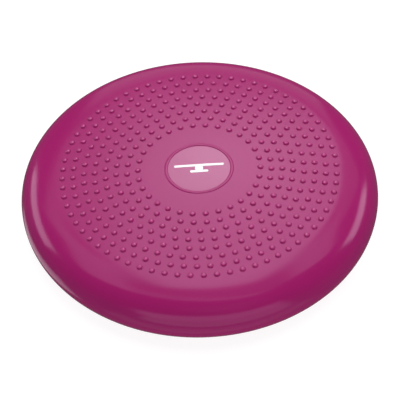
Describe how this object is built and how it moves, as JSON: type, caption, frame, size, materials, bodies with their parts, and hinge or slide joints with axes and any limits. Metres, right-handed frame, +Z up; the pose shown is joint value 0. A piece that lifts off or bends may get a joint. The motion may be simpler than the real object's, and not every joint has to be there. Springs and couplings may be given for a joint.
{
  "type": "balance pad",
  "caption": "Round air-filled balance pad with rings of small massage nubs on a domed deck, a raised medallion ring, rounded sides and a stoppered valve underneath.",
  "frame": {"origin": "on the floor, under the middle of the pad", "axes": "+Z up through the pad, +X to the right of the print as it is read, +Y towards the valve side"},
  "size_m": [0.33, 0.33, 0.0631],
  "materials": {
    "skin_pvc": "satin",
    "white_ink": "satin",
    "valve_rubber": "matte",
    "core_rubber": "matte",
    "stopper_plastic": "satin"
  },
  "bodies": {
    "base": {"lower_skin": "skin_pvc", "valve_housing": "valve_rubber", "valve_core": "core_rubber"},
    "seam": {"weld_bead": "skin_pvc"},
    "deck": {"upper_skin": "skin_pvc", "badge_print": "white_ink"},
    "stopper": {"valve_stopper": "stopper_plastic"}
  },
  "joints": [
    {"name": "deck_rock", "type": "hinge", "parent": "base", "child": "seam", "pos_m": [0, 0, 0.0285], "axis": [1, 0, 0], "range_deg": [-5, 5], "stiffness_Nm_per_rad": 200, "deforming": ["lower_skin"]},
    {"name": "deck_roll", "type": "hinge", "parent": "seam", "child": "deck", "pos_m": [0, 0, 0.0285], "axis": [0, 1, 0], "range_deg": [-5, 5], "stiffness_Nm_per_rad": 200, "deforming": ["upper_skin"]},
    {"name": "stopper_pull", "type": "slide", "parent": "base", "child": "stopper", "axis": [0, 0, -1], "range_m": [0, 0.009]}
  ]
}
